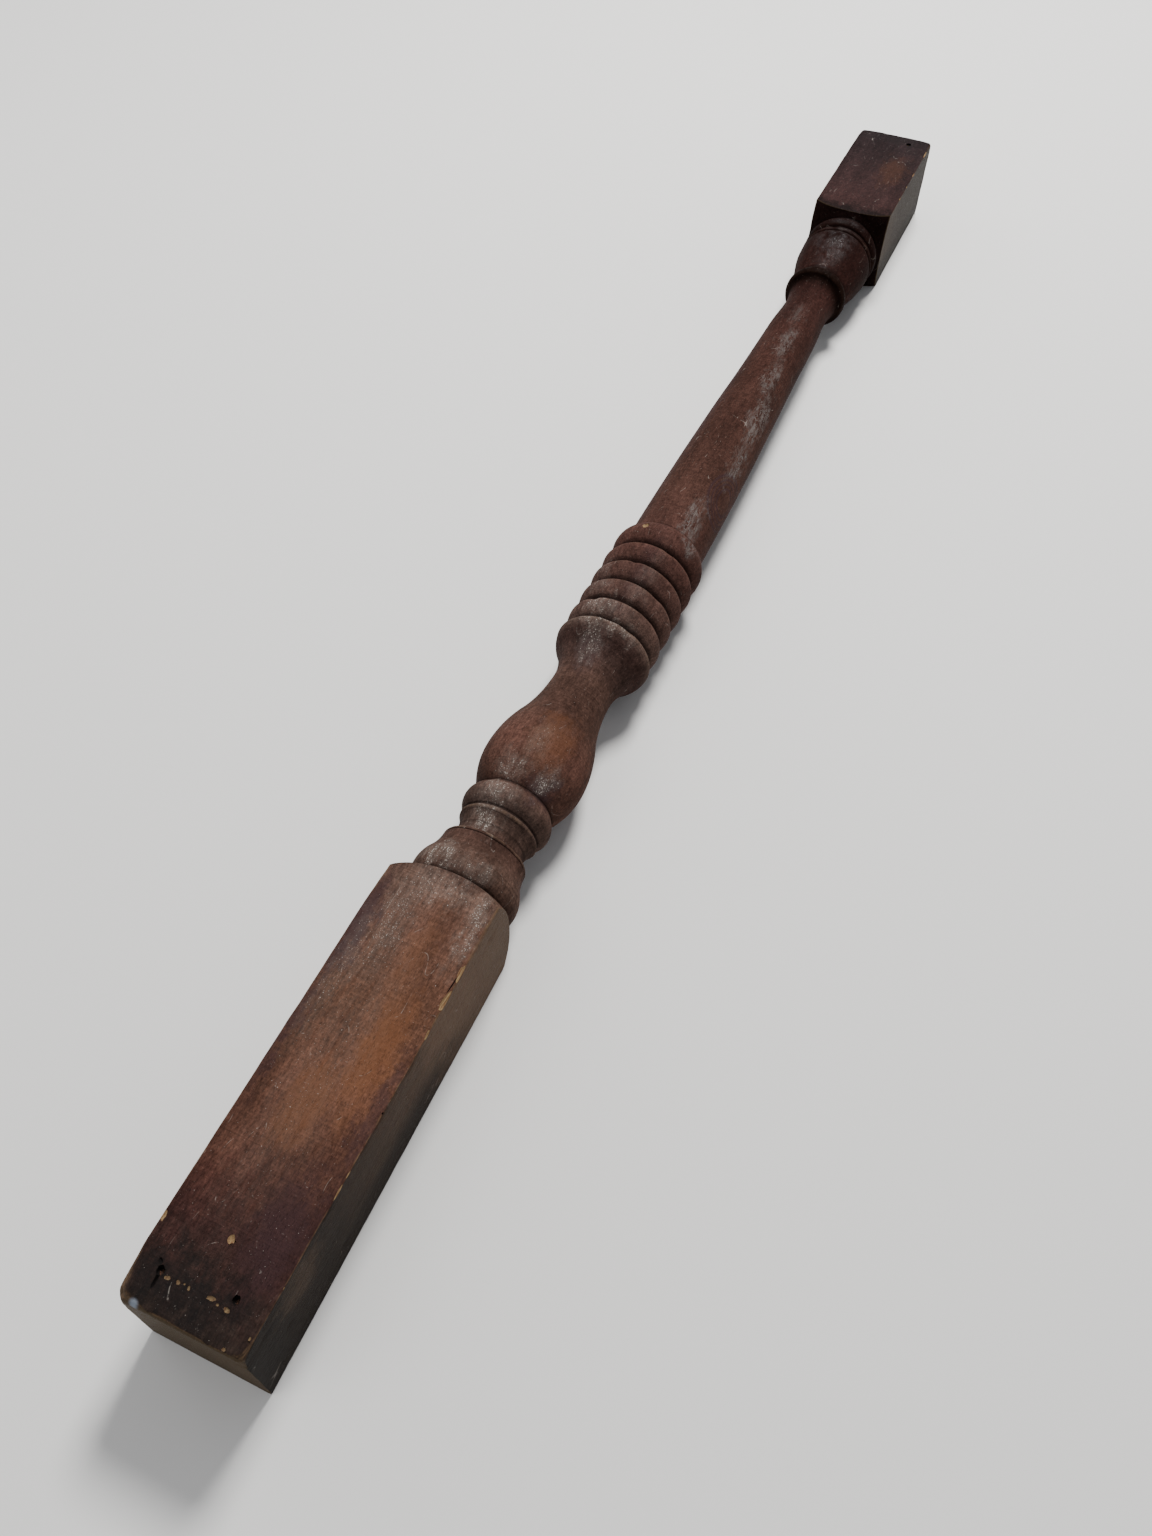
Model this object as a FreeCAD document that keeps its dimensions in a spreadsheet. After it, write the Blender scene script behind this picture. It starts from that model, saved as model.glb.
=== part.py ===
"""Turned wooden baluster with square blocks at both ends, lying on one side.

The timber is made as on a lathe: a square blank, eased along its edges, is turned down
between its two end blocks, and three nail holes are then driven into its upper face.
What is left of a nail stands in each hole.

The part's frame: +X along the baluster from its foot to its head, +Z up, the lower faces
of both blocks on z = 0 and the origin in the middle of them. Units are millimetres.
"""
import FreeCAD, Part
import os

import Sketcher

# The driving dimensions. Places along the baluster ("..._at") are measured from the foot
# end, and radii ("..._rad") from the turning axis.
DIMENSIONS = {
    # timber blank
    "length": (969.0, "overall length"),
    "block_side": (57.0, "side of both square blocks"),
    "edge_ease": (1.0, "rounding of the blank's edges"),
    "turning_clear_rad": (41.6, "radius where the turning tool is clear of the blank's corners"),
    # foot block shoulder
    "foot_corner_at": (202.1, "foot shoulder, where it leaves the blank's corners"),
    "foot_face_at": (212.6, "foot shoulder, where it crosses the middle of a face"),
    "foot_shoulder_round": (28.0, "rounding of the foot shoulder"),
    "foot_groove_at": (213.5, "near side of the groove after the foot shoulder"),
    "foot_groove_rad": (25.7, "bottom of the groove after the foot shoulder"),
    # bell between the foot block and the neck
    "bell_start_at": (215.0, "where the bell rises from its groove"),
    "bell_start_rad": (26.9, "bell, at its groove"),
    "bell_slope_at": (228.5, "bell, where its swell turns to its hollow"),
    "bell_slope_rad": (26.3, "bell, where its swell turns to its hollow"),
    "bell_swell_round": (18.0, "rounding of the bell's swell"),
    "bell_lip_at": (240.6, "bell, at the line cut beside its lip"),
    "bell_lip_rad": (22.7, "bell, at the line cut beside its lip"),
    "bell_hollow_round": (26.0, "rounding of the bell's hollow"),
    "lip_start_at": (241.2, "lip, past the line cut beside it"),
    "lip_rad": (22.6, "lip, past the line cut beside it"),
    "lip_end_at": (242.8, "lip, at its sharp edge"),
    "lip_end_rad": (21.9, "lip, at its sharp edge"),
    "lip_round": (1.4, "rounding of the lip"),
    "line_depth": (0.6, "depth of the fine lines cut with a point"),
    # neck and collar
    "neck_start_at": (243.6, "neck cove, at the bell"),
    "neck_start_rad": (18.9, "neck cove, at the bell"),
    "neck_end_at": (255.8, "neck cove, at the collar"),
    "neck_end_rad": (20.4, "neck cove, at the collar"),
    "neck_round": (16.0, "hollow of the neck cove"),
    "fillet_end_at": (258.6, "fine fillet beside the collar, far side"),
    "fillet_round": (1.6, "rounding of the fine fillet"),
    "collar_start_at": (260.0, "collar, near side"),
    "collar_start_rad": (21.0, "collar, near side"),
    "collar_end_at": (273.2, "collar, far side"),
    "collar_end_rad": (21.7, "collar, far side"),
    "collar_round": (9.6, "rounding of the collar"),
    # vase
    "vase_start_at": (274.6, "vase, at the groove after the collar"),
    "vase_start_rad": (21.0, "vase, at the groove after the collar"),
    "vase_belly_at": (299.0, "vase, at its fattest"),
    "vase_belly_rad": (28.0, "vase, at its fattest"),
    "vase_foot_round": (46.2, "rounding of the vase towards its foot"),
    "vase_slope_at": (322.0, "vase, where its swell turns to its hollow"),
    "vase_slope_rad": (24.2, "vase, where its swell turns to its hollow"),
    "vase_top_round": (71.5, "rounding of the vase past its belly"),
    "vase_neck_at": (358.0, "vase, at its thinnest"),
    "vase_neck_rad": (17.4, "vase, at its thinnest"),
    "vase_neck_round": (98.7, "hollow of the vase towards its neck"),
    "flare_slope_at": (376.8, "flare, where its hollow turns to its swell"),
    "flare_slope_rad": (23.3, "flare, where its hollow turns to its swell"),
    "flare_hollow_round": (32.9, "hollow of the flare"),
    "flare_swell_round": (18.0, "rounding of the flare's rim"),
    "flare_nose_drop": (1.4, "how far the flare's nose falls below its crest"),
    "flare_nose_round": (3.2, "rounding of the flare's nose"),
    # five rings and the band that ends them
    "ring_start_at": (385.3, "crest of the flare's rim, the first of the crests"),
    "ring_pitch": (16.1, "from one crest to the next"),
    "ring_rad": (27.7, "radius at each crest"),
    "ring_nose": (3.9, "from a crest to the steep side of its groove"),
    "ring_nose_drop": (3.1, "how far a ring's nose falls below its crest"),
    "ring_nose_round": (4.0, "rounding of a ring's nose"),
    "ring_groove": (4.6, "from a crest to the bottom of the groove after it"),
    "ring_groove_drop": (5.2, "depth of a groove below the crests"),
    "ring_back_round": (15.4, "rounding of a ring's long side"),
    "band_end_at": (474.8, "band, where it meets the shaft"),
    "band_round": (11.0, "rounding of the band into the shaft"),
    # long tapered shaft
    "shaft_start_rad": (22.9, "shaft, at the band"),
    "shaft_slope_at": (615.6, "shaft, where its swell turns to its hollow"),
    "shaft_slope_rad": (20.6, "shaft, where its swell turns to its hollow"),
    "shaft_swell_round": (3650.0, "entasis of the shaft's thick end"),
    "shaft_end_at": (762.0, "shaft, at the neck ring"),
    "shaft_end_rad": (17.5, "shaft, at the neck ring"),
    "shaft_hollow_round": (4200.0, "easing of the shaft's thin end"),
    # neck ring
    "neck_ring_cove_at": (766.4, "neck ring, where its cove ends"),
    "neck_ring_cove_rad": (21.0, "neck ring, where its cove ends"),
    "neck_ring_cove_round": (5.5, "hollow of the neck ring's cove"),
    "neck_ring_end_at": (774.6, "neck ring, far side"),
    "neck_ring_end_rad": (20.2, "neck ring, far side"),
    "neck_ring_round": (6.0, "rounding of the neck ring"),
    # cup below the head block
    "cup_start_at": (777.2, "cup, at the groove after the neck ring"),
    "cup_start_rad": (18.7, "cup, at the groove after the neck ring"),
    "cup_end_at": (816.8, "cup, at its rim"),
    "cup_end_rad": (26.9, "cup, at its rim"),
    "cup_round": (110.0, "rounding of the cup"),
    "bead_start_at": (818.4, "fine bead past the cup, near side"),
    "bead_start_rad": (26.6, "fine bead past the cup, near side"),
    "bead_end_at": (822.6, "fine bead past the cup, far side"),
    "bead_end_rad": (26.3, "fine bead past the cup, far side"),
    "bead_round": (3.6, "rounding of the fine bead"),
    "torus_start_at": (825.8, "torus below the head block, near side"),
    "torus_start_rad": (25.6, "torus below the head block, near side"),
    "torus_end_at": (835.9, "torus below the head block, far side"),
    "torus_end_rad": (25.7, "torus below the head block, far side"),
    "torus_round": (7.6, "rounding of the torus"),
    "head_groove_at": (837.6, "near side of the groove below the head block"),
    "head_groove_end_at": (839.5, "far side of the groove below the head block"),
    "head_groove_rad": (24.5, "bottom of the groove below the head block"),
    # head block shoulder
    "head_face_at": (842.4, "head shoulder, where it crosses the middle of a face"),
    "head_corner_at": (851.0, "head shoulder, where it leaves the blank's corners"),
    "head_shoulder_round": (28.0, "rounding of the head shoulder"),
    # nails and their holes
    "nail_rad": (1.5, "radius of a nail's shank and of its hole"),
    "nail_hole_deep": (24.0, "depth of a nail hole"),
    "nail_sunk": (2.2, "how far a broken nail lies below the face"),
    "nail_point": (5.0, "length of a nail's point"),
    "nail_tip_rad": (0.3, "radius of a nail's blunt tip"),
    "foot_left_at": (14.5, "left nail of the foot block, from the foot end"),
    "foot_left_out": (16.5, "left nail of the foot block, from the middle line"),
    "foot_right_at": (17.4, "right nail of the foot block, from the foot end"),
    "foot_right_out": (14.7, "right nail of the foot block, from the middle line"),
    "head_nail_at": (958.0, "nail of the head block, from the foot end"),
    "head_nail_out": (12.5, "nail of the head block, from the middle line"),
}

doc = FreeCAD.newDocument("Baluster")


def dimension_sheet():
    """The spreadsheet: one row for each dimension, its value aliased by its name."""
    sheet = doc.addObject("Spreadsheet::Sheet", "Dims")
    for row, (name, (size, meaning)) in enumerate(DIMENSIONS.items(), start=1):
        sheet.set(f"A{row}", name)
        sheet.set(f"B{row}", str(size))
        sheet.set(f"C{row}", meaning)
        sheet.setAlias(f"B{row}", name)
    doc.recompute()
    return sheet


def size(**terms):
    """A length made of sheet cells, each times its factor: the number and the expression."""
    number = sum(factor * DIMENSIONS[name][0] for name, factor in terms.items())
    text = " + ".join(f"{factor} * Dims.{name}" for name, factor in terms.items())
    return number, text


def bind(target, prop, length):
    """Set one property of an object from the sheet."""
    target.setExpression(prop, length[1])


def origin_plane(body, role):
    """One of a body's own origin planes."""
    return next(item for item in body.Origin.OriginFeatures if item.Role == role)


def new_sketch(body, name, role):
    """A sketch lying on one of its body's origin planes."""
    sketch = body.newObject("Sketcher::SketchObject", name)
    sketch.AttachmentSupport = (origin_plane(body, role), [""])
    sketch.MapMode = "FlatFace"
    return sketch


def constrain(sketch, kind, *where, length):
    """A sized constraint whose size follows the sheet."""
    number, text = length
    index = sketch.addConstraint(Sketcher.Constraint(kind, *where, number))
    sketch.setExpression(f"Constraints[{index}]", text)


def place_vertex(sketch, curve, vertex, along, across):
    """Fix a curve's end at its distances from the sketch's origin."""
    constrain(sketch, "DistanceX", -1, 1, curve, vertex, length=along)
    constrain(sketch, "DistanceY", -1, 1, curve, vertex, length=across)


def arc_between(start, end, radius, bulges):
    """The minor arc from start to end; it swells away from the axis if it bulges."""
    chord = end - start
    side = FreeCAD.Vector(-chord.y, chord.x, 0).normalize()
    if side.y < 0:
        side = -side
    if not bulges:
        side = -side
    rise = radius - (radius ** 2 - (chord.Length / 2) ** 2) ** 0.5
    return Part.Arc(start, (start + end) / 2 + side * rise, end)


def turned_outline(sketch, stations):
    """Draw the waste that the turning tool removes: the profile closed past the corners.

    Each station is (along, radius, curve), where curve is how the profile comes there from
    the station before: None for a straight cut, or (rounding, bulges) for an arc.
    """
    points = [FreeCAD.Vector(along[0], across[0], 0) for along, across, _ in stations]
    curves = []
    for index, (_, _, curve) in enumerate(stations):
        start, end = points[index - 1], points[index]
        if curve is None:
            curves.append(sketch.addGeometry(Part.LineSegment(start, end), False))
        else:
            arc = arc_between(start, end, curve[0][0], curve[1])
            curves.append(sketch.addGeometry(arc, False))
    starts = [1] * len(stations)
    ends = [2] * len(stations)
    for index, (_, _, curve) in enumerate(stations):
        if curve is not None:
            # an arc is stored counter-clockwise, so its own first end may be the far one
            first = sketch.getPoint(curves[index], 1)
            if (first - points[index - 1]).Length > (first - points[index]).Length:
                starts[index], ends[index] = 2, 1
    for index, (along, across, curve) in enumerate(stations):
        following = (index + 1) % len(stations)
        sketch.addConstraint(Sketcher.Constraint(
            "Coincident", curves[index], ends[index], curves[following], starts[following]))
        place_vertex(sketch, curves[index], ends[index], along, across)
        if curve is not None:
            constrain(sketch, "Radius", curves[index], length=curve[0])


def at(along, radius, rounding=None, bulges=True):
    """A station named by its sheet cells."""
    curve = (size(**{rounding: 1}), bulges) if rounding else None
    return size(**{along: 1}), size(**{radius: 1}), curve


def ring_stations():
    """The crests from the flare's rim to the band, each with the groove after it."""
    stations = []
    ring_count = 5
    for number in range(ring_count + 1):
        crest = {"ring_start_at": 1, "ring_pitch": number}
        back, nose = ("flare_swell", "flare_nose") if number == 0 else ("ring_back", "ring_nose")
        stations.append((size(**crest), size(ring_rad=1), (size(**{back + "_round": 1}), True)))
        if number < ring_count:
            stations.append((size(ring_nose=1, **crest),
                             size(**{"ring_rad": 1, nose + "_drop": -1}),
                             (size(**{nose + "_round": 1}), True)))
            stations.append((size(ring_groove=1, **crest),
                             size(ring_rad=1, ring_groove_drop=-1), None))
    return stations


def profile_stations():
    """The whole turned profile from the foot shoulder to the head shoulder."""
    half_side = size(block_side=0.5)
    foot = [
        at("foot_corner_at", "turning_clear_rad"),
        (size(foot_face_at=1), half_side, (size(foot_shoulder_round=1), True)),
        at("foot_groove_at", "foot_groove_rad"),
        at("bell_start_at", "bell_start_rad"),
        at("bell_slope_at", "bell_slope_rad", "bell_swell_round"),
        at("bell_lip_at", "bell_lip_rad", "bell_hollow_round", bulges=False),
        (size(bell_lip_at=0.5, lip_start_at=0.5), size(lip_rad=1, line_depth=-1), None),
        at("lip_start_at", "lip_rad"),
        at("lip_end_at", "lip_end_rad", "lip_round"),
        at("neck_start_at", "neck_start_rad"),
        at("neck_end_at", "neck_end_rad", "neck_round", bulges=False),
        at("fillet_end_at", "neck_end_rad", "fillet_round"),
        (size(fillet_end_at=0.5, collar_start_at=0.5),
         size(collar_start_rad=1, line_depth=-1), None),
        at("collar_start_at", "collar_start_rad"),
        at("collar_end_at", "collar_end_rad", "collar_round"),
    ]
    vase = [
        at("vase_start_at", "vase_start_rad"),
        at("vase_belly_at", "vase_belly_rad", "vase_foot_round"),
        at("vase_slope_at", "vase_slope_rad", "vase_top_round"),
        at("vase_neck_at", "vase_neck_rad", "vase_neck_round", bulges=False),
        at("flare_slope_at", "flare_slope_rad", "flare_hollow_round", bulges=False),
    ]
    shaft = [
        at("band_end_at", "shaft_start_rad", "band_round"),
        at("shaft_slope_at", "shaft_slope_rad", "shaft_swell_round"),
        at("shaft_end_at", "shaft_end_rad", "shaft_hollow_round", bulges=False),
        at("neck_ring_cove_at", "neck_ring_cove_rad", "neck_ring_cove_round", bulges=False),
        at("neck_ring_end_at", "neck_ring_end_rad", "neck_ring_round"),
    ]
    head = [
        at("cup_start_at", "cup_start_rad"),
        at("cup_end_at", "cup_end_rad", "cup_round"),
        (size(cup_end_at=0.5, bead_start_at=0.5), size(bead_start_rad=1, line_depth=-1), None),
        at("bead_start_at", "bead_start_rad"),
        at("bead_end_at", "bead_end_rad", "bead_round"),
        (size(bead_end_at=0.5, torus_start_at=0.5), size(torus_start_rad=1, line_depth=-1), None),
        at("torus_start_at", "torus_start_rad"),
        at("torus_end_at", "torus_end_rad", "torus_round"),
        at("head_groove_at", "head_groove_rad"),
        at("head_groove_end_at", "head_groove_rad"),
        (size(head_face_at=1), half_side, None),
        at("head_corner_at", "turning_clear_rad", "head_shoulder_round"),
    ]
    return foot + vase + ring_stations() + shaft + head


def timber_blank(body):
    """The square blank, with its long edges and ends eased."""
    square = new_sketch(body, "BlankSection", "YZ_Plane")
    half = DIMENSIONS["block_side"][0] / 2
    corners = [FreeCAD.Vector(y, z, 0) * half for y, z in ((-1, -1), (1, -1), (1, 1), (-1, 1))]
    edges = [square.addGeometry(Part.LineSegment(corners[i - 1], corners[i]), False)
             for i in range(4)]
    for index, corner in enumerate(corners):
        square.addConstraint(Sketcher.Constraint(
            "Coincident", edges[index], 2, edges[(index + 1) % 4], 1))
        across = size(block_side=0.5 if corner.x > 0 else -0.5)
        upward = size(block_side=0.5 if corner.y > 0 else -0.5)
        place_vertex(square, edges[index], 2, across, upward)
    blank = body.newObject("PartDesign::Pad", "Blank")
    blank.Profile = square
    bind(blank, "Length", size(length=1))
    doc.recompute()
    eased = body.newObject("PartDesign::Fillet", "EasedEdges")
    every_edge = [f"Edge{i}" for i in range(1, len(blank.Shape.Edges) + 1)]
    eased.Base = (blank, every_edge)
    bind(eased, "Radius", size(edge_ease=1))
    doc.recompute()
    return eased


def nail_places():
    """Each nail: its node's name, its place along the baluster and its place across it."""
    return [
        ("foot_nail_left", size(foot_left_at=1), size(foot_left_out=1)),
        ("foot_nail_right", size(foot_right_at=1), size(foot_right_out=-1)),
        ("head_nail", size(head_nail_at=1), size(head_nail_out=-1)),
    ]


def nail_holes(body):
    """Three nail holes driven straight down from the upper face of the blocks."""
    circles = new_sketch(body, "NailHolePlaces", "XY_Plane")
    circles.setExpression("AttachmentOffset.Base.z", size(block_side=0.5)[1])
    for _, along, across in nail_places():
        centre = FreeCAD.Vector(along[0], across[0], 0)
        up = FreeCAD.Vector(0, 0, 1)
        circle = circles.addGeometry(Part.Circle(centre, up, DIMENSIONS["nail_rad"][0]), False)
        place_vertex(circles, circle, 3, along, across)
        constrain(circles, "Radius", circle, length=size(nail_rad=1))
    holes = body.newObject("PartDesign::Pocket", "NailHoles")
    holes.Profile = circles
    bind(holes, "Length", size(nail_hole_deep=1))
    doc.recompute()
    return holes


def lay_down(body, along, across, upward):
    """Bind a sub-part's place in the part's frame to the sheet."""
    body.setExpression(".Placement.Base.x", along[1])
    body.setExpression(".Placement.Base.y", across[1])
    body.setExpression(".Placement.Base.z", upward[1])


def make_baluster():
    """The turned timber."""
    body = doc.addObject("PartDesign::Body", "Baluster")
    body.Label = "baluster"
    blank = timber_blank(body)
    profile = new_sketch(body, "TurnedProfile", "XZ_Plane")
    turned_outline(profile, profile_stations())
    turning = body.newObject("PartDesign::Groove", "Turning")
    turning.Profile = profile
    turning.ReferenceAxis = (profile, ["H_Axis"])
    turning.Angle = 360
    doc.recompute()
    if turning.Shape.Volume >= blank.Shape.Volume:
        raise RuntimeError("the turning removed nothing from the blank")
    holes = nail_holes(body)
    if holes.Shape.Volume >= turning.Shape.Volume:
        raise RuntimeError("the nail holes removed nothing from the timber")
    lay_down(body, size(length=-0.5), size(length=0), size(block_side=0.5))
    return body


def make_nail(name, along, across):
    """What is left of one nail: a shank broken off below the face, with a blunt point."""
    body = doc.addObject("PartDesign::Body", name.title().replace("_", ""))
    body.Label = name
    section = new_sketch(body, name + "_section", "XZ_Plane")
    deep = size(nail_hole_deep=-1)
    shank_end = size(nail_hole_deep=-1, nail_point=1)
    broken = size(nail_sunk=-1)
    corners = [
        (size(length=0), deep),
        (size(nail_tip_rad=1), deep),
        (size(nail_rad=1), shank_end),
        (size(nail_rad=1), broken),
        (size(length=0), broken),
    ]
    points = [FreeCAD.Vector(across_[0], upward[0], 0) for across_, upward in corners]
    lines = [section.addGeometry(Part.LineSegment(points[i - 1], points[i]), False)
             for i in range(len(points))]
    for index, (radius, upward) in enumerate(corners):
        section.addConstraint(Sketcher.Constraint(
            "Coincident", lines[index], 2, lines[(index + 1) % len(lines)], 1))
        if radius[0] == 0:
            section.addConstraint(Sketcher.Constraint("PointOnObject", lines[index], 2, -2))
            constrain(section, "DistanceY", -1, 1, lines[index], 2, length=upward)
        else:
            place_vertex(section, lines[index], 2, radius, upward)
    shank = body.newObject("PartDesign::Revolution", name + "_shank")
    shank.Profile = section
    shank.ReferenceAxis = (section, ["V_Axis"])
    shank.Angle = 360
    number, text = along
    centred = (number, text + " - 0.5 * Dims.length")
    lay_down(body, centred, across, size(block_side=1))
    doc.recompute()
    return body


def check_and_write(parts):
    """Stop on anything that failed, then write each sub-part to its own file."""
    doc.recompute()
    for item in doc.Objects:
        if "Invalid" in item.State or "Error" in item.State:
            raise RuntimeError(f"{item.Name} failed: {item.State}")
        if item.TypeId == "Sketcher::SketchObject" and item.solve() != 0:
            raise RuntimeError(f"{item.Name} can't be solved")
    os.makedirs("parts", exist_ok=True)
    for part in parts:
        shape = part.Shape
        if shape.isNull() or not shape.isValid() or len(shape.Solids) != 1:
            raise RuntimeError(f"{part.Label} isn't one valid solid")
        box = shape.optimalBoundingBox()
        print(f"{part.Label}: volume {shape.Volume:.1f} mm3, "
              f"x {box.XMin:.2f} to {box.XMax:.2f}, y {box.YMin:.2f} to {box.YMax:.2f}, "
              f"z {box.ZMin:.2f} to {box.ZMax:.2f}")
        shape.exportStep(f"parts/{part.Label}.step")


dimension_sheet()
sub_parts = [make_baluster()]
sub_parts += [make_nail(name, along, across) for name, along, across in nail_places()]
check_and_write(sub_parts)
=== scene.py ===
"""A reclaimed turned baluster on a pale floor: worn, stained, dusty, with broken nails.

Places on the baluster are in millimetres: along from the foot end, and across and upward
from the turning axis. Everything is turned to metres in the frame's axes at the end.
"""
import math

import bpy
import numpy as np
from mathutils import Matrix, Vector, noise


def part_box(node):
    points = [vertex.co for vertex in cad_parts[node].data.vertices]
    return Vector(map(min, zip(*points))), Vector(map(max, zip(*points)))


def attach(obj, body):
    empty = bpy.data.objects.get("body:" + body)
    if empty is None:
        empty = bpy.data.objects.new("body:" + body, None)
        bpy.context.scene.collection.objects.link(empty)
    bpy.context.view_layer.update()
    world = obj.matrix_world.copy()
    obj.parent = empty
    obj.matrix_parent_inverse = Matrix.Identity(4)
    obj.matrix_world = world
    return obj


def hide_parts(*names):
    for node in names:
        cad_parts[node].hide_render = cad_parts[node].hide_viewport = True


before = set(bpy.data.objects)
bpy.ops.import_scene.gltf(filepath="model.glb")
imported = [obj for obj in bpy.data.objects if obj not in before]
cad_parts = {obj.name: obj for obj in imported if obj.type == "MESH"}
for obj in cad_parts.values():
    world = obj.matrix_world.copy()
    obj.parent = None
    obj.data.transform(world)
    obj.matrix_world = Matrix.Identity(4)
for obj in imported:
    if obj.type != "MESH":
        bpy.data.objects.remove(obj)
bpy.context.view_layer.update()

bl_info = {
    "name": "Worn turned baluster",
    "version": (1, 0, 0),
    "blender": (4, 5, 0),
    "location": "3D View > Sidebar > Baluster",
    "description": "Builds a reclaimed, stained baluster around its fixed model",
    "category": "Object",
}

TIMBER_LOW, TIMBER_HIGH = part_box("baluster")
MM = 0.001
LENGTH = (TIMBER_HIGH.x - TIMBER_LOW.x) / MM
SIDE = (TIMBER_HIGH.z - TIMBER_LOW.z) / MM
HALF = SIDE / 2
FOOT_END = TIMBER_LOW.x / MM


def linear(code):
    """An sRGB hex colour as the linear numbers that shaders take."""
    parts = [int(code[i:i + 2], 16) / 255 for i in (1, 3, 5)]
    return tuple(c / 12.92 if c <= 0.04045 else ((c + 0.055) / 1.055) ** 2.4 for c in parts)


def colour_property(name, description, code):
    """A colour that a user can change, from its sRGB hex value."""
    return bpy.props.FloatVectorProperty(
        name=name, description=description, default=linear(code), size=3,
        subtype="COLOR", min=0.0, max=1.0)


def length_property(name, description, metres):
    """A length that a user can change, in metres."""
    return bpy.props.FloatProperty(
        name=name, description=description, default=metres, min=0.0, unit="LENGTH",
        precision=4)


class BALUSTER_PG_stain(bpy.types.PropertyGroup):
    """Colours laid over the stained timber."""
    glow: colour_property("Thin stain", "Orange wood where the stain has rubbed thin", "#6b442c")
    purple: colour_property("Aged stain", "Purple-brown blotches of aged stain", "#382829")
    weathered: colour_property("Weathered side", "Grey-brown side faces", "#5f4d3d")
    # painted shade with grime, darkening the side faces of the blocks
    grime_and_shade: colour_property("Grime", "Dark dirt on the side faces", "#110e0c")
    iron: colour_property("Iron stain", "Black stain round the old nails", "#1b1817")
    dust: colour_property("Dust", "Pale dust rubbed into the pores", "#b1a89e")
    # dirt, also laid as painted shade in the grooves and creases
    dirt_and_shade: colour_property("Groove dirt", "Dirt packed into the grooves", "#0e0908")
    worn: colour_property("Worn edge", "Wood showing along rubbed edges", "#66503c")
    raw: colour_property("Raw wood", "Bare wood in chips and splinters", "#8e7754")
    scuff: colour_property("Scuff", "Grey scuffs in the stain of the shaft", "#6e6965")
    fleck: colour_property("Paint fleck", "Old pale blue paint at the foot end", "#8a93a0")
    end_grain: colour_property("End grain", "Sawn ends", "#4f4232")


class BALUSTER_PG_wear(bpy.types.PropertyGroup):
    """Sizes of the wear."""
    arris: length_property("Arris wear", "Usual rounding of the long edges", 0.0011)
    undulation: length_property("Undulation", "Depth of the hand-worn waves", 0.0003)
    dents: bpy.props.IntProperty(
        name="Dents", description="Small dents all over", default=150, min=0)


class BALUSTER_PG_stage(bpy.types.PropertyGroup):
    """Floor, lamps and camera."""
    floor: colour_property("Floor", "Plain pale floor", "#e6e4e0")
    lens: bpy.props.FloatProperty(
        name="Lens", description="Focal length on a 36 mm frame", default=28.74,
        unit="CAMERA")
    camera_place: bpy.props.FloatVectorProperty(
        name="Camera place", description="Close above the foot end",
        default=(-0.5208, -0.1715, 0.5312), subtype="TRANSLATION", unit="LENGTH")
    camera_turn: bpy.props.FloatVectorProperty(
        name="Camera turn", description="Looks down along the baluster to its head",
        default=tuple(math.radians(a) for a in (36.95, -0.37, -65.67)), subtype="EULER")


# ---------------------------------------------------------------- shape helpers

def to_metres(points):
    """Points on the baluster, in millimetres, as metres in the frame's axes."""
    return (np.asarray(points, float) + (FOOT_END, 0.0, HALF)) * MM


def new_object(name, points, faces, materials):
    """A mesh object in the scene, from points in metres."""
    mesh = bpy.data.meshes.new(name)
    mesh.from_pydata([tuple(point) for point in points], [], faces)
    for material in materials:
        mesh.materials.append(material)
    thing = bpy.data.objects.new(name, mesh)
    bpy.context.scene.collection.objects.link(thing)
    return thing


def closed_tube(rings, sides):
    """Faces round rings of points, closed on the two middle points that follow them."""
    faces = []
    for ring in range(rings - 1):
        a, b = ring * sides, (ring + 1) * sides
        for k in range(sides):
            n = (k + 1) % sides
            faces.append((a + k, a + n, b + n, b + k))
    first, last, top = rings * sides, rings * sides + 1, (rings - 1) * sides
    for k in range(sides):
        n = (k + 1) % sides
        faces += [(first, n, k), (last, top + k, top + n)]
    return faces


def ruffle(points, size, seed):
    """Smooth noise from -1 to 1 at each point, with waves of the given size."""
    shift = Vector((seed * 7.31, seed * 3.17, seed * 5.73))
    stretch = Vector(size)
    return np.array([noise.noise(Vector((p[0] / stretch.x, p[1] / stretch.y,
                                         p[2] / stretch.z)) + shift) for p in points])


def stepped(start, stop, step):
    """Evenly spaced values from start to stop, both included."""
    return np.linspace(start, stop, max(2, int(round(abs(stop - start) / step)) + 1))


# ---------------------------------------------------------------- turned profile

def cad_profile():
    """(along, radius) on the turned surface, read from the fixed model."""
    end_clear = 30.0  # past the nail holes and eased ends
    points = np.array([v.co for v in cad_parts["baluster"].data.vertices]) / MM
    along = points[:, 0] - FOOT_END
    radius = np.hypot(points[:, 1], points[:, 2] - HALF)
    turned = (along > end_clear) & (along < LENGTH - end_clear)
    pairs = np.unique(np.round(np.stack([along[turned], radius[turned]], 1), 2), axis=0)
    kept = [pairs[0]]
    for pair in pairs[1:]:
        if np.hypot(*(pair - kept[-1])) > 0.12:
            kept.append(pair)
    kept = np.array(kept)
    # the shoulders go on past the eased corners of the blocks
    first = kept[0] + (kept[0] - kept[2]) * 2.0 / np.hypot(*(kept[0] - kept[2]))
    last = kept[-1] + (kept[-1] - kept[-3]) * 2.0 / np.hypot(*(kept[-1] - kept[-3]))
    return np.vstack([first, kept, last])


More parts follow.
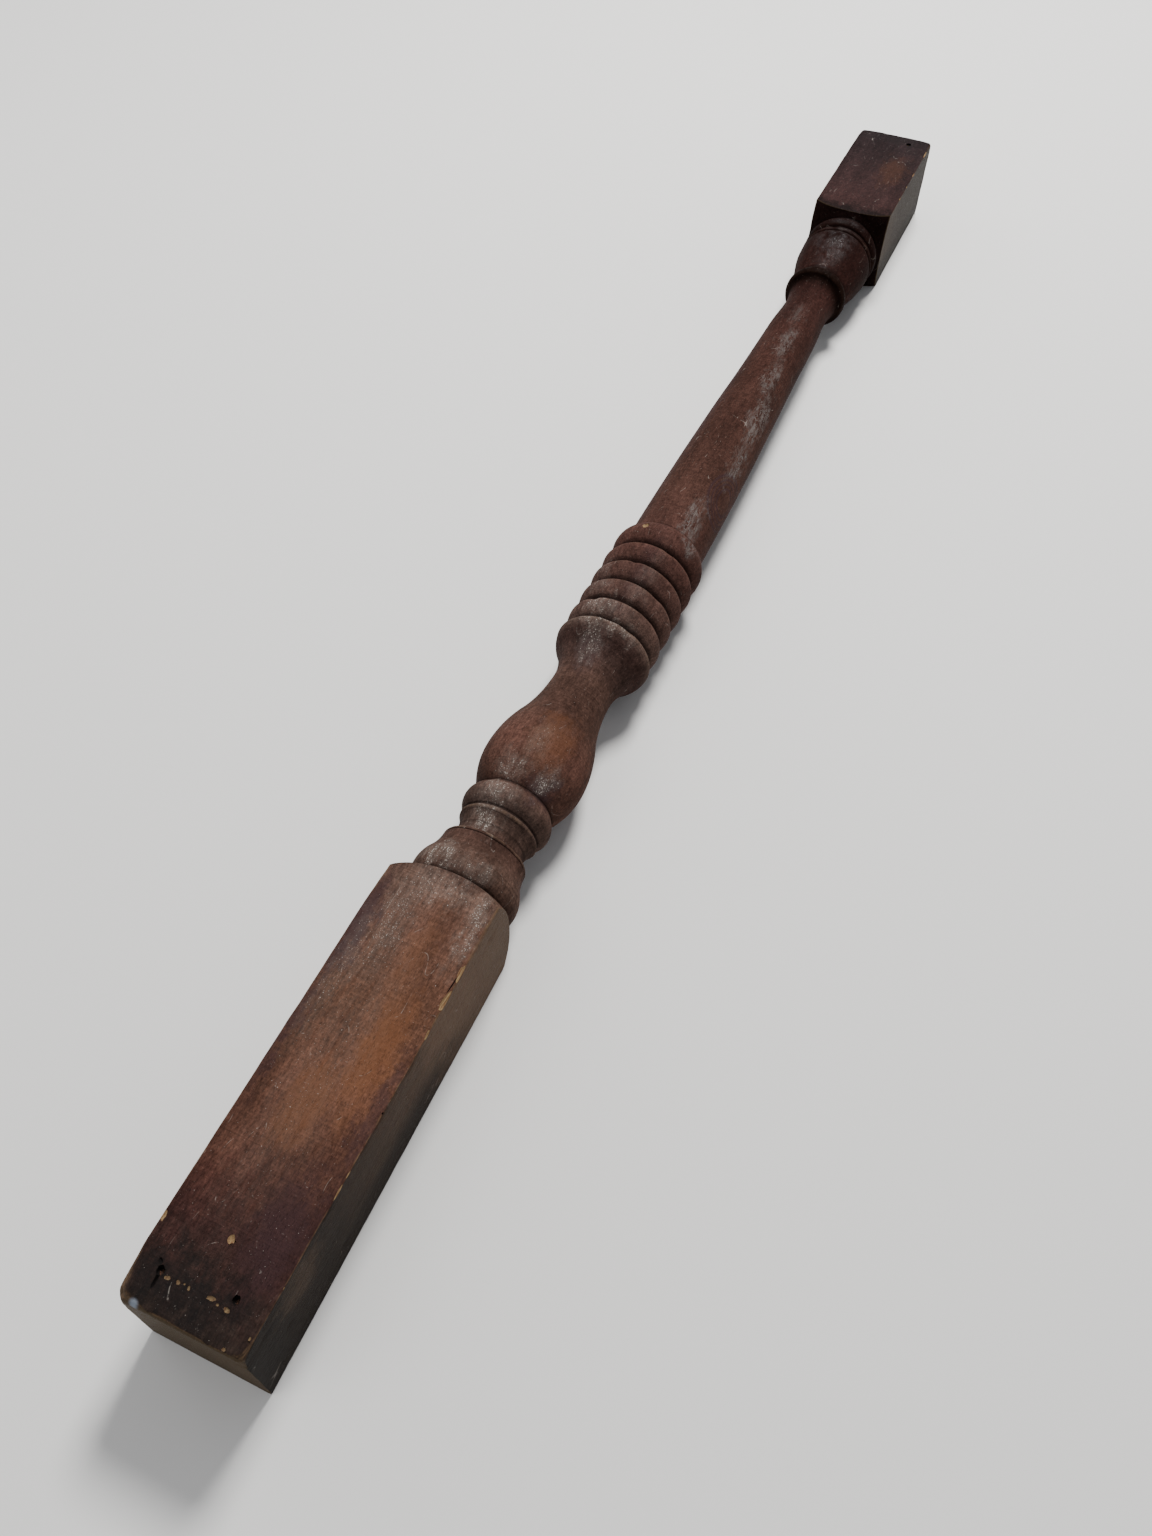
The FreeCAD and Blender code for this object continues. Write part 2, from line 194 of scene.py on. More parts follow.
def smooth_profile(points):
    """The same curve with closer points: arcs stay round and sharp corners stay sharp."""
    sharp_turn = math.radians(17)
    chord = np.diff(points, axis=0)
    length = np.hypot(chord[:, 0], chord[:, 1])
    heading = chord / length[:, None]
    angle = np.arctan2(heading[:, 1], heading[:, 0])
    turn = np.abs(np.diff(angle))
    sharp = np.concatenate([[True], turn > sharp_turn, [True]])
    tangent = np.zeros_like(points)
    for i in range(1, len(points) - 1):
        mean = heading[i - 1] * length[i] + heading[i] * length[i - 1]
        tangent[i] = mean / np.hypot(*mean)

    def end_tangent(i, this, other):
        """Tangent at one end of chord i; a sharp end mirrors the chord's other end."""
        if not sharp[this]:
            return tangent[this]
        if sharp[other]:
            return heading[i]
        return 2 * np.dot(heading[i], tangent[other]) * heading[i] - tangent[other]

    closer = [points[0]]
    for i in range(len(chord)):
        pace = 1.15
        if SHAFT[0] < points[i, 0] < SHAFT[1]:
            pace = 2.4
        elif CUP_RIM[0] < points[i, 0] < CUP_RIM[1]:
            pace = 0.5
        pieces = max(1, math.ceil(length[i] / pace))
        leaving, arriving = end_tangent(i, i, i + 1), end_tangent(i, i + 1, i)
        for step in range(1, pieces + 1):
            t = step / pieces
            closer.append(
                points[i] * (2 * t ** 3 - 3 * t ** 2 + 1)
                + leaving * length[i] * (t ** 3 - 2 * t ** 2 + t)
                + points[i + 1] * (3 * t ** 2 - 2 * t ** 3)
                + arriving * length[i] * (t ** 3 - t ** 2))
    closer = np.array(closer)
    for place, half_width, depth in SCRIBED_LINES:
        closer[:, 1] -= depth * np.exp(-((closer[:, 0] - place) / half_width) ** 2)
    return closer


SHAFT = (476.0, 745.0)
CUP_RIM = (812.0, 832.0)
# fine lines cut at the cup's rim: place, half width and depth
SCRIBED_LINES = [
    (816.9, 0.7, 0.6),
    (820.4, 0.6, 0.4),
    (824.6, 1.3, 1.7),
]
FOOT_SHOULDER_CLEAR = 197.0
HEAD_SHOULDER_CLEAR = 856.0
SIDE_STEPS = 36


def directions():
    """Unit directions round the axis, closer together towards the four corners."""
    s = np.linspace(-1, 1, SIDE_STEPS, endpoint=False)
    offset = 0.55 * s + 0.45 * np.sin(s * math.pi / 2)
    flat = np.arctan(offset)
    angle = np.concatenate([flat + quarter * math.pi / 2 for quarter in range(4)])
    return np.stack([np.cos(angle), np.sin(angle)], 1)


def block_lines(start, stop, far_end):
    """Places of the grid lines along a block, closer together at its free end."""
    close = np.array([0.0, 0.5, 1.1, 1.9, 2.9, 4.1, 5.5])
    near = np.concatenate([close, stepped(7.0, 26.0, 1.4)])
    if far_end:
        return np.concatenate([stepped(start, stop - 28.2, 2.2), (stop - near)[::-1]])
    return np.concatenate([near, stepped(28.2, stop, 2.2)])


def timber_lines():
    """Closed grid lines round the timber, from foot to head, their groove depths and bends."""
    profile = smooth_profile(cad_profile())
    travel = np.concatenate([[0], np.cumsum(np.hypot(*np.diff(profile, axis=0).T))])
    around = directions()
    reach = HALF / np.abs(around).max(1)
    middle = len(profile) // 2
    window = 7.0  # a groove lies below what is this near to it on both of its sides
    steps = profile[:, 0][None, :] - profile[:, 0][:, None]
    radii = np.minimum(profile[:, 1], HALF) * np.ones_like(steps)
    before = np.where((steps <= 0) & (steps > -window), radii, 0).max(1)
    after = np.where((steps >= 0) & (steps < window), radii, 0).max(1)
    groove = np.clip(np.minimum(before, after) - profile[:, 1], 0, None)
    # how far a line across the bend passes above a crease, or below a crest
    near = 1.8
    bend = (np.interp(travel - near, travel, profile[:, 1])
            + np.interp(travel + near, travel, profile[:, 1])) / 2 - profile[:, 1]

    def flat_line(along):
        return np.column_stack([np.broadcast_to(along, reach.shape), around * reach[:, None]])

    def turned_line(where):
        radius = np.interp(where, travel, profile[:, 1])
        return np.column_stack([np.interp(where, travel, profile[:, 0]),
                                around * radius[:, None]])

    lines, depths, bends, flats = [], [], [], []

    def keep(line, where, flat):
        lines.append(line)
        turned = 0.0 if flat else 1.0
        depths.append(np.interp(where, travel, groove) * turned * np.ones(len(reach)))
        bends.append(np.interp(where, travel, bend) * turned * np.ones(len(reach)))
        flats.append(np.full(len(reach), float(flat)))

    foot_side = np.arange(middle)
    head_side = np.arange(middle, len(profile))
    turned_round = profile[:, 1] < HALF - 2.0
    foot_stop = foot_side[turned_round[foot_side]][0]
    head_stop = head_side[turned_round[head_side]][-1]
    meets_foot = np.interp(reach, profile[:foot_stop + 1, 1][::-1], travel[:foot_stop + 1][::-1])
    meets_head = np.interp(reach, profile[head_stop:, 1], travel[head_stop:])
    for along in block_lines(0.0, FOOT_SHOULDER_CLEAR, False):
        keep(flat_line(along), 0.0, True)
    crease = np.interp(meets_foot, travel, profile[:, 0])
    for share in stepped(0, 1, 1 / 7)[1:]:
        keep(flat_line(FOOT_SHOULDER_CLEAR + (crease - FOOT_SHOULDER_CLEAR) * share), 0.0, True)
    for share in stepped(0, 1, 1 / 9)[1:]:
        where = meets_foot + (travel[foot_stop] - meets_foot) * share
        keep(turned_line(where), where, False)
    for index in range(foot_stop + 1, head_stop + 1):
        where = np.full(len(reach), travel[index])
        keep(turned_line(where), where, False)
    for share in stepped(0, 1, 1 / 9)[1:]:
        where = travel[head_stop] + (meets_head - travel[head_stop]) * share
        keep(turned_line(where), where, share == 1)
    crease = np.interp(meets_head, travel, profile[:, 0])
    for share in stepped(0, 1, 1 / 6)[1:]:
        keep(flat_line(crease + (HEAD_SHOULDER_CLEAR - crease) * share), 0.0, True)
    for along in block_lines(HEAD_SHOULDER_CLEAR, LENGTH, True)[1:]:
        keep(flat_line(along), 0.0, True)
    return lines, depths, bends, flats


def end_cap(line):
    """Grid lines that shrink from an end's edge to its middle."""
    from_edge = np.array([0.5, 1.1, 1.9, 3.0, 4.5, 6.5, 9.5, 14.0, 20.0])
    return [line * (1, share, share) for share in 1 - from_edge / HALF]


def rounding_at(points, usual):
    """How far the long edges and ends are worn round at each point."""
    wear = usual * (1 + 0.55 * ruffle(points, (9, 9, 9), 1))
    wear += usual * 0.9 * np.clip(ruffle(points, (33, 60, 60), 2) - 0.15, 0, 1)
    for place, span, radius in WORN_CORNERS:
        gap = np.linalg.norm((points - place) / span, axis=1)
        wear += radius * np.exp(-gap ** 2)
    return np.clip(wear, 0.35, None)


# place, reach of the wear in each direction, and the extra rounding there
WORN_CORNERS = [
    ((0, HALF, HALF), (12, 8, 10), 5.5),
    ((0, -HALF, HALF), (8, 6, 7), 2.4),
    ((0, 8, HALF), (3, 16, 4), 1.0),
    ((LENGTH, HALF, HALF), (8, 8, 8), 2.2),
    ((LENGTH, -HALF, HALF), (14, 5, 5), 1.4),
    ((205, HALF, HALF), (14, 8, 8), 1.6),
    ((180, -HALF, HALF), (26, 4, 4), 0.8),
]


def nearest_faces(points):
    """How far each point is inside the nearer end, side and level face, and which way out."""
    gap = np.stack([np.minimum(points[:, 0], LENGTH - points[:, 0]),
                    HALF - np.abs(points[:, 1]), HALF - np.abs(points[:, 2])], 1)
    outward = np.stack([np.where(points[:, 0] < LENGTH / 2, -1.0, 1.0),
                        np.sign(points[:, 1]), np.sign(points[:, 2])], 1)
    return gap, outward


def wear_round(points, usual):
    """Round the blank's edges, ends and corners by rolling a ball along them."""
    gap, outward = nearest_faces(points)
    radius = rounding_at(points, usual)[:, None]
    inside = np.clip(radius - gap, 0, None)
    far = np.linalg.norm(inside, axis=1)[:, None]
    pull = np.where(far > radius, inside * (1 - radius / np.maximum(far, 1e-9)), 0)
    return points - outward * pull


def surface_normals(points, flat):
    """Rough outward directions: a face's own on a block, away from the axis elsewhere."""
    round_out = points * (0, 1, 1)
    round_out /= np.maximum(np.linalg.norm(round_out, axis=1), 1e-9)[:, None]
    gap, outward = nearest_faces(points)
    rows, face = np.arange(len(points)), np.argmin(np.abs(gap), axis=1)
    flat_out = np.zeros_like(points)
    flat_out[rows, face] = outward[rows, face]
    return np.where(flat[:, None] > 0.5, flat_out, round_out)


def dent(points, flat, settings):
    """Press waves, dents and nicks into the surface, never out of it."""
    out = surface_normals(points, flat)
    wave = 0.5 + 0.5 * ruffle(points, (38, 17, 17), 3)
    grain = 0.5 + 0.5 * ruffle(points, (30, 1.6, 1.6), 4)
    depth = settings.undulation / MM * wave + 0.07 * grain
    chance = np.random.default_rng(11)
    picks = chance.choice(len(points), settings.dents, replace=False)
    for pick in picks:
        span = chance.uniform(1.4, 4.5) * np.array([chance.uniform(1, 2.4), 1, 1])
        press = chance.uniform(0.12, 0.5)
        gap = np.linalg.norm((points - points[pick]) / span, axis=1)
        depth += press * np.exp(-gap ** 2 * 1.6)
    for place, span, press in KNOWN_DENTS:
        gap = np.linalg.norm((points - place) / span, axis=1)
        depth += press * np.exp(-gap ** 3)
    return points - out * depth[:, None]


# place, reach in each direction and depth of the dents and nicks that stand out
KNOWN_DENTS = [
    ((58, -HALF, HALF), (4, 2.2, 2.2), 0.6),
    ((86, -HALF, HALF), (3, 2.4, 2.4), 0.8),
    ((97, -HALF, HALF), (6, 2.8, 2.8), 1.0),
    ((109, -HALF, HALF), (3, 2.4, 2.4), 0.9),
    ((122, -HALF, HALF), (7, 2.6, 2.6), 1.0),
    ((184, -HALF, HALF), (8, 2.2, 2.2), 0.7),
    ((237, -10, 22), (5, 6, 5), 0.9),
    ((404, 14, 24), (2.5, 3.5, 3), 1.0),
    ((436.5, 3, 27), (2.5, 2.2, 3), 0.9),
    ((388, -14, 24), (2.2, 5, 4), 0.8),
    ((388, -2, 28), (2.0, 4, 3), 0.7),
    ((420, -17, 21), (2.5, 4, 4), 0.6),
    ((452, -12, 25), (2.5, 3, 3), 0.6),
    ((469, -19, 20), (5, 3, 3), 0.8),
    ((275, 12, 18), (3, 3, 3), 0.6),
    ((822, 6, 26), (2.5, 3, 3), 0.7),
]


def timber_mesh(materials, settings):
    """The whole timber as one closed grid, worn and dented."""
    lines, depths, bends, flats = timber_lines()
    foot_cap, head_cap = end_cap(lines[0]), end_cap(lines[-1])
    lines = foot_cap[::-1] + lines + head_cap
    around = len(lines[0])
    spare = [np.zeros(around)] * len(foot_cap)
    on_flat = [np.ones(around)] * len(foot_cap)
    points = np.vstack(lines + [[(0, 0, 0), (LENGTH, 0, 0)]])
    groove = np.concatenate(spare + depths + spare + [[0, 0]])
    bend = np.concatenate(spare + bends + spare + [[0, 0]])
    flat = np.concatenate(on_flat + flats + on_flat + [[1, 1]])
    rounded = wear_round(points, settings.arris / MM)
    worn = np.where(flat > 0.5, np.linalg.norm(rounded - points, axis=1), 0)
    points = np.where(flat[:, None] > 0.5, rounded, points)
    points = dent(points, flat, settings)
    points[:, 0] = np.clip(points[:, 0], 0, LENGTH)
    points[:, 1:] = np.clip(points[:, 1:], -HALF, HALF)
    timber = new_object("stained_timber", to_metres(points),
                        closed_tube(len(lines), around), materials)
    for name, values in (("groove", groove), ("bend", bend), ("flat", flat),
                         ("worn", worn)):
        layer = timber.data.attributes.new(name, "FLOAT", "POINT")
        layer.data.foreach_set("value", values.astype(np.float32))
    return timber


# ---------------------------------------------------------------- chips and holes

def lump(place, size, turn, seed, roughness=0.22):
    """A ragged ellipsoid that bites a chip out of the surface."""
    rows, columns = 7, 12
    chance = np.random.default_rng(seed)
    points = [(0, 0, 1.0)]
    for row in range(1, rows):
        tilt = math.pi * row / rows
        for column in range(columns):
            spin = math.tau * column / columns
            shake = 1 + chance.uniform(-roughness, roughness)
            points.append((math.sin(tilt) * math.cos(spin) * shake,
                           math.sin(tilt) * math.sin(spin) * shake, math.cos(tilt)))
    points.append((0, 0, -1.0))
    points = np.array(points) * (np.array(size) * (0.5, 0.5, 1.0))
    c, s = math.cos(math.radians(turn)), math.sin(math.radians(turn))
    points = points @ np.array([(c, s, 0), (-s, c, 0), (0, 0, 1)]) + place
    faces = []
    for column in range(columns):
        n = (column + 1) % columns
        faces.append((0, 1 + column, 1 + n))
        for row in range(rows - 2):
            a, b = 1 + row * columns, 1 + (row + 1) * columns
            faces.append((a + column, b + column, b + n, a + n))
        last = 1 + (rows - 2) * columns
        faces.append((last + column, len(points) - 1, last + n))
    return points, faces


# chips in bare wood: place, (length, width, depth), turn in degrees
RAW_CHIPS = [
    ((13.6, 12.8, HALF), (1.9, 3.1, 0.6), 14),
    ((13.9, 8.2, HALF), (1.7, 2.0, 0.5), -25),
    ((14.4, 5.7, HALF), (1.0, 1.0, 0.4), 0),
    ((13.7, 3.4, HALF), (2.2, 1.2, 0.5), 24),
    ((14.2, -6.0, HALF), (1.7, 3.8, 0.6), 8),
    ((13.3, -9.4, HALF), (1.2, 1.5, 0.4), 0),
    ((13.2, -13.4, HALF), (2.2, 3.0, 0.6), -22),
    ((34.9, -1.1, HALF), (3.4, 3.0, 0.8), 30),
    ((168.8, -9.2, HALF), (3.2, 1.8, 0.25), 0),
    ((31.6, 27.4, HALF), (4.2, 2.0, 0.7), 5),
    ((8.4, -26.5, HALF), (1.8, 1.2, 0.4), 0),
    ((28.2, -HALF, HALF), (2.0, 1.4, 0.8), 0),
    ((66.0, -HALF, HALF - 0.2), (9.0, 1.6, 1.0), 2),
    ((74.5, -HALF, HALF), (5.0, 1.2, 0.9), -3),
    ((137.5, -HALF, HALF), (7.0, 1.6, 1.0), 3),
    ((143.5, -HALF, HALF), (3.0, 1.0, 0.8), 0),
    ((155.0, -HALF + 0.3, HALF - 0.1), (12.0, 3.4, 1.2), -3),
    ((168.0, -HALF + 0.2, HALF), (12.0, 3.2, 1.3), 4),
    ((466.5, 8.3, 25.9), (4.2, 5.2, 0.9), 0),
    ((875.0, -HALF, HALF), (5.0, 1.8, 1.0), 0),
    ((894.0, -HALF, HALF), (4.0, 1.5, 0.9), 8),
    ((915.0, -HALF + 0.1, HALF), (9.0, 1.4, 0.9), -4),
    ((948.0, -HALF, HALF), (12.0, 2.0, 1.3), 3),
    ((1.4, -20.0, HALF), (2.2, 2.0, 0.4), 0),
]

# torn holes with dark walls: place, (length, width, depth), turn in degrees
DARK_HOLES = [
    ((11.6, 16.3, HALF), (8.5, 1.7, 2.4), 5),
    ((14.6, 16.6, HALF), (4.4, 3.2, 3.0), 0),
    ((17.6, 18.6, HALF), (3.0, 1.6, 1.0), 40),
    ((17.4, -14.7, HALF), (4.0, 3.4, 3.0), 20),
    ((958.0, -12.5, HALF), (4.4, 3.6, 3.0), -10),
    ((163.0, -HALF + 1.5, HALF), (10.0, 0.7, 1.5), -4),
]


def bite(target, name, cuts, material):
    """Cut ragged lumps out of a mesh; the cut faces take the given material."""
    points, faces = np.zeros((0, 3)), []
    for seed, (place, size, turn) in enumerate(cuts):
        more, more_faces = lump(place, size, turn, seed + 40)
        faces += [tuple(i + len(points) for i in face) for face in more_faces]
        points = np.vstack([points, more])
    cutter = new_object(name, to_metres(points), faces, [material])
    cut = target.modifiers.new(name, "BOOLEAN")
    cut.operation, cut.solver, cut.object = "DIFFERENCE", "EXACT", cutter
    cut.use_self, cut.material_mode = True, "TRANSFER"
    depsgraph = bpy.context.evaluated_depsgraph_get()
    result = bpy.data.meshes.new_from_object(target.evaluated_get(depsgraph))
    target.modifiers.clear()
    old, target.data = target.data, result
    bpy.data.meshes.remove(old)
    bpy.data.objects.remove(cutter)


def splinter(place, length, width, lift, turn, seed):
    """A thin torn sliver, thicker in its middle, lifting at one end."""
    chance = np.random.default_rng(seed)
    steps, corners = 14, 5
    points, faces = [], []
    for step in range(steps + 1):
        t = step / steps
        taper = max(0.06, math.sin(math.pi * min(1, t * 1.15 + 0.04)) ** 0.6)
        for corner in range(corners):
            spin = math.tau * corner / corners
            shake = 1 + chance.uniform(-0.2, 0.2)
            points.append(((t - 0.5) * length, math.cos(spin) * width / 2 * taper * shake,
                           math.sin(spin) * width / 3.2 * taper * shake + lift * t ** 2))
    for step in range(steps):
        a, b = step * corners, (step + 1) * corners
        for corner in range(corners):
            n = (corner + 1) % corners
            faces.append((a + corner, b + corner, b + n, a + n))
    faces.append(tuple(range(corners)))
    faces.append(tuple(range(steps * corners, (steps + 1) * corners))[::-1])
    c, s = math.cos(math.radians(turn)), math.sin(math.radians(turn))
    return np.array(points) @ np.array([(c, s, 0), (-s, c, 0), (0, 0, 1)]) + place, faces


# place, length, width, lift, turn in degrees
SPLINTERS = [
    ((157.5, -HALF + 1.2, HALF - 0.95), 15.0, 1.0, 0.25, -2),
    ((168.5, -HALF + 1.1, HALF - 1.0), 11.0, 0.9, 0.35, 3),
    ((137.8, -HALF + 0.9, HALF - 0.8), 6.5, 0.7, 0.2, 2),
    ((14.9, -14.0, HALF - 0.7), 3.4, 0.7, 0.35, 12),
    ((956.2, -12.0, HALF - 0.8), 3.0, 0.7, 0.3, -20),
    ((67.0, -HALF + 0.8, HALF - 0.7), 7.5, 0.6, 0.1, 1),
]


# ---------------------------------------------------------------- materials

def add(tree, kind, inputs=None, **settings):
    """Add one node with its settings, values and links."""
    node = tree.nodes.new(kind)
    for name, value in settings.items():
        setattr(node, name, value)
    for key, value in (inputs or {}).items():
        if isinstance(value, bpy.types.NodeSocket):
            tree.links.new(value, node.inputs[key])
        else:
            node.inputs[key].default_value = value
    return node


def solid(colour):
    """A colour property as a shader's colour, with full alpha."""
    return (*colour, 1.0)


def start_material(name, roughness, ior):
    """An empty material, its shader and the object's places in millimetres."""
    material = bpy.data.materials.new(name)
    material.use_nodes = True
    tree = material.node_tree
    shader = tree.nodes["Principled BSDF"]
    shader.inputs["Roughness"].default_value = roughness
    shader.inputs["IOR"].default_value = ior
    places = add(tree, "ShaderNodeTexCoord").outputs["Object"]
    millimetres = add(tree, "ShaderNodeVectorMath", {0: places, 1: (1000.0,) * 3},
                      operation="MULTIPLY").outputs[0]
    on_axis = add(tree, "ShaderNodeVectorMath", {0: millimetres, 1: (-FOOT_END, 0.0, -HALF)},
                  operation="ADD").outputs[0]
    return material, tree, shader, on_axis


def patch_mask(tree, places, patches):
    """Full strength in any patch's middle, fading to none at its reach."""
    total = None
    for centre, reach, strength in patches:
        away = add(tree, "ShaderNodeVectorMath", {0: places, 1: centre}, operation="SUBTRACT")
        share = add(tree, "ShaderNodeVectorMath", {0: away.outputs[0], 1: reach},
                    operation="DIVIDE").outputs[0]
        gap = add(tree, "ShaderNodeVectorMath", {0: share}, operation="LENGTH").outputs["Value"]
        mask = add(tree, "ShaderNodeMapRange", {0: gap, 1: 1.0, 2: 0.25, 3: 0.0, 4: strength},
                   interpolation_type="SMOOTHSTEP").outputs[0]
        if total is None:
            total = mask
        else:
            total = add(tree, "ShaderNodeMath", {0: total, 1: mask},
                        operation="MAXIMUM").outputs[0]
    return total


# the stain's colour along the baluster, with painted shade making the cup and the head's shoulder
# darker: millimetres from the foot end, then the colour
STAIN_AND_SHADE_ALONG = [
    (0, "#43352e"), (35, "#432b27"), (52, "#50332b"), (72, "#664538"), (95, "#6c493a"),
    (140, "#6e4c3b"), (185, "#6c4c3e"), (206, "#6a5044"), (214, "#4d3830"), (221, "#614b41"),
    (240, "#543d35"), (250, "#57443c"), (262, "#5f4c44"), (276, "#583f36"), (299, "#65463c"),
    (322, "#563e35"), (356, "#5c453c"), (372, "#54403a"), (381, "#4a3631"), (386, "#665249"),
    (402, "#624a42"), (452, "#5a3e37"), (520, "#523931"), (640, "#4c332c"), (757, "#3c2622"),
    # painted shade: the stops at 808 and 846 mm darken the cup and the head's shoulder
    (764, "#20130f"), (774, "#20130f"), (779, "#3a2420"), (808, "#2a1916"), (846, "#1e1210"),
    (856, "#3d2826"), (969, "#2c2223"),
]

# patches of stain and wear with ragged edges: centre, reach in each direction, strength
PATCHES = {
    "glow": [  # the stain rubbed thin; on the vase, a painted highlight in the same colour
        ((92, 2, HALF), (30, 13, 12), 0.5),
        ((122, -13, HALF), (44, 13, 12), 0.6),
        ((168, -6, HALF), (34, 9, 8), 0.3),
        # painted highlight on the vase's top, in the thin stain's colour
        ((303, -9, 24), (26, 18, 14), 0.35),
        ((912, -12, HALF), (34, 14, 8), 0.14),
    ],
    "aged": [
        ((172, 25, HALF), (44, 9, 9), 0.8),
        ((120, 27, HALF), (50, 6, 6), 0.6),
        ((100, -26, HALF), (40, 6, 6), 0.55),
        ((46, -17, HALF), (38, 17, 8), 0.65),
        # painted shade: the shaft's +Y side darker, in the aged stain's colour
        ((590, 20, 8), (150, 15, 16), 0.5),
        ((278, -14, 16), (14, 12, 12), 0.75),
        ((366, 2, 22), (18, 14, 9), 0.55),
        ((432, -2, 25), (60, 7, 7), 0.3),
    ],
    "dusty": [
        ((182, 12, HALF), (56, 15, 9), 0.6),
        ((150, 20, HALF), (60, 10, 9), 0.5),
        ((192, -22, HALF), (34, 8, 8), 0.8),
        ((203, 0, HALF), (14, 30, 9), 0.6),
        ((220, 12, 24), (13, 16, 12), 1.0),
        ((220, -8, 24), (11, 14, 12), 0.7),
        ((250, 4, 20), (12, 14, 12), 1.0),
        ((266, 4, 22), (12, 16, 12), 0.75),
        ((284, 2, 22), (14, 13, 9), 0.8),
        ((298, -3, 27), (17, 9, 8), 0.5),
        ((284, -14, 18), (16, 9, 9), 0.9),
        ((372, 2, 22), (20, 12, 9), 0.8),
        ((387, 0, 27), (6, 40, 16), 0.8),
        ((400, 8, 26), (10, 16, 10), 0.8),
        ((416, 16, 22), (12, 12, 10), 0.6),
        ((434, 20, 18), (16, 10, 9), 0.5),
        ((420, -8, 26), (50, 8, 8), 0.35),
        ((110, 4, HALF), (110, 24, 9), 0.3),
    ],
    "scuff": [  # along the shaft
        ((468, -17, 18), (10, 9, 10), 0.8),
        ((490, -12, 18), (26, 8, 10), 1.0),
        ((552, -16, 12), (30, 8, 9), 1.0),
        ((596, -14, 14), (42, 9, 9), 1.0),
        ((640, -9, 17), (28, 8, 8), 0.8),
        ((682, -5, 18), (28, 8, 7), 0.7),
        ((718, -2, 18), (22, 8, 6), 0.3),
    ],
    "iron": [  # round the nails and across the foot block's end
        ((3, 0, HALF), (24, 60, 10), 0.6),
        ((2, -HALF, 0), (24, 8, 60), 0.6),
        ((11, 16, HALF), (22, 17, 10), 1.0),
        ((9, -1, HALF), (18, 20, 10), 1.0),
        ((13, -15, HALF), (14, 14, 8), 0.85),
        ((964, 0, HALF), (13, 34, 8), 0.5),
    ],
    "less_darkened_side": [  # the side face left lighter, with less painted shade and grime
        ((200, 0, 0), (80, 300, 300), 0.85),
        ((36, 0, 14), (20, 300, 20), 0.4),
    ],
    # the head block's side faces darker
    "head_side_darker": [((925, 0, 0), (150, 300, 300), 0.76)],
}

# the same with smooth edges; varnish is left on the cup and the vase
SMOOTH_PATCHES = {
    "knot": [((522, -18, 8), (26, 16, 16), 1.0)],
    "fleck": [((0.8, 19.2, HALF - 1), (2.6, 3.0, 4.0), 0.9)],
    "varnish": [((806, 0, 0), (46, 300, 300), 1.0), ((306, -6, 24), (26, 16, 12), 0.4)],
}


# noise in the timber: size of a wave in mm along, across and up, then detail and roughness
GRAIN = {
    "cloud": ((60, 16, 16), 6.0, 0.6),      # where the stain took more or less
    "blotch": ((9, 6, 6), 5.0, 0.7),        # ragged edges of every patch
    "fibre": ((34, 0.7, 0.7), 4.0, 0.6),
    "pore": ((2.0, 0.36, 0.36), 2.0, 0.5),
    "mottle": ((4.5, 2.2, 2.2), 4.0, 0.65),  # rubbed down unevenly
    "grit": ((1.5, 1.1, 1.1), 3.0, 0.7),
    "turning": ((0.8, 60, 60), 2.0, 0.5),   # fine rings cut round the timber
    "speck": ((0.7, 0.6, 0.6), 2.0, 0.6),
    "streak": ((15, 2.6, 2.6), 3.0, 0.6),
    "smear": ((11, 2.4, 2.4), 6.0, 0.75),
    "curl": ((6.0, 2.6, 2.6), 3.0, 0.6),
    "hair": ((24, 9, 9), 0.0, 0.5),
}


